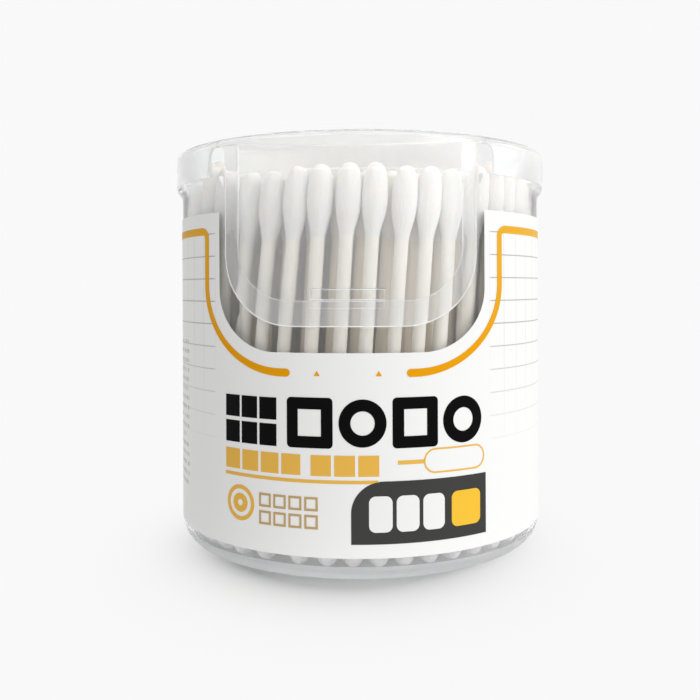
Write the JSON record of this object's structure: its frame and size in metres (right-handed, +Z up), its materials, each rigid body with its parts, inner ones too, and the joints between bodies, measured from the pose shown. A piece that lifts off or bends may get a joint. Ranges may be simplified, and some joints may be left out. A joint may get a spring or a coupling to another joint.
{
  "type": "cotton swab tub",
  "caption": "Round clear plastic tub packed with upright cotton swabs, with a wrap label and a push-on lid whose long front flap hinges up from the top.",
  "frame": {"origin": "centre of the foot, on the surface the tub stands on", "axes": "+Z up through the lid, -Y to the front with the flap, +X to the right seen from the front"},
  "size_m": [0.0794, 0.0794, 0.081],
  "materials": {
    "tub": "milky clear moulded",
    "lid": "milky clear moulded",
    "label_film": "printed film, satin",
    "ink_orange": "printed",
    "ink_black": "printed",
    "ink_tan": "printed",
    "ink_panel": "printed",
    "ink_white": "printed",
    "ink_yellow": "printed",
    "paper_stick": "rolled paper",
    "cotton": "wound cotton"
  },
  "bodies": {
    "tub": {"tub_body": "tub", "label": "label_film", "print_orange": "ink_orange", "print_black": "ink_black", "print_tan": "ink_tan", "print_panel": "ink_panel", "print_white": "ink_white", "print_yellow": "ink_yellow", "row_1_sticks": "paper_stick", "row_1_lower_buds": "cotton", "row_1_upper_buds": "cotton", "row_2_sticks": "paper_stick", "row_2_lower_buds": "cotton", "row_2_upper_buds": "cotton", "row_3_sticks": "paper_stick", "row_3_lower_buds": "cotton", "row_3_upper_buds": "cotton", "row_4_sticks": "paper_stick", "row_4_lower_buds": "cotton", "row_4_upper_buds": "cotton", "row_5_sticks": "paper_stick", "row_5_lower_buds": "cotton", "row_5_upper_buds": "cotton", "row_6_sticks": "paper_stick", "row_6_lower_buds": "cotton", "row_6_upper_buds": "cotton", "row_7_sticks": "paper_stick", "row_7_lower_buds": "cotton", "row_7_upper_buds": "cotton", "row_8_sticks": "paper_stick", "row_8_lower_buds": "cotton", "row_8_upper_buds": "cotton"},
    "lid": {"lid": "lid"},
    "flap": {"flap": "lid"}
  },
  "joints": [
    {"name": "lid_lift", "type": "slide", "parent": "tub", "child": "lid", "axis": [0, 0, 1], "range_m": [0, 0.04]},
    {"name": "flap_hinge", "type": "hinge", "parent": "lid", "child": "flap", "pos_m": [0, -0.03092, 0.081], "axis": [-1, 0, 0], "range_deg": [0, 110]}
  ]
}
